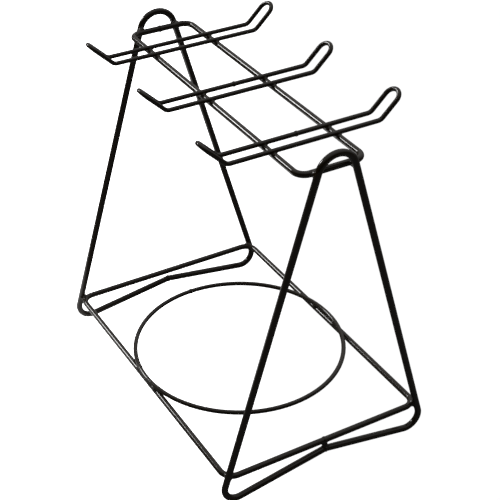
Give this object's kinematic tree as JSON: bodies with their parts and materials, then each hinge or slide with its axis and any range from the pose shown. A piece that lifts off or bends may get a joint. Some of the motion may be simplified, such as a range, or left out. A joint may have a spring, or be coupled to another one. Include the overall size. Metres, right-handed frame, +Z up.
{
  "type": "wire holder stand",
  "caption": "Welded black wire stand: two arched end frames carry a base frame with a ring and a top rail with upturned double-wire hooks on both sides.",
  "frame": {"origin": "centre of the footprint, on the floor", "axes": "+Z up, X along the rack from end frame to end frame (+X is the end with the extra tack weld), Y across it, the way the hooks point"},
  "size_m": [0.248, 0.166, 0.2603],
  "materials": {
    "end_frame_coating": "gloss black coating on steel wire",
    "frame_coating": "gloss black coating on steel wire",
    "ring_coating": "gloss black coating on steel wire",
    "hook_coating": "gloss black coating on steel wire",
    "weld_coating": "the same gloss black coating, thicker over the weld beads"
  },
  "bodies": {
    "root": {"front_end_frame": "end_frame_coating", "rear_end_frame": "end_frame_coating", "base_frame": "frame_coating", "top_frame": "frame_coating", "base_ring": "ring_coating", "hook_loop_front": "hook_coating", "hook_loop_middle": "hook_coating", "hook_loop_rear": "hook_coating", "hook_loop_welds": "weld_coating", "top_frame_welds": "weld_coating", "base_frame_welds": "weld_coating", "ring_welds": "weld_coating", "end_frame_butt_welds": "weld_coating", "base_frame_butt_weld": "weld_coating", "top_frame_butt_weld": "weld_coating", "ring_butt_weld": "weld_coating", "hook_loop_butt_welds": "weld_coating", "apex_tack": "weld_coating"}
  },
  "joints": []
}
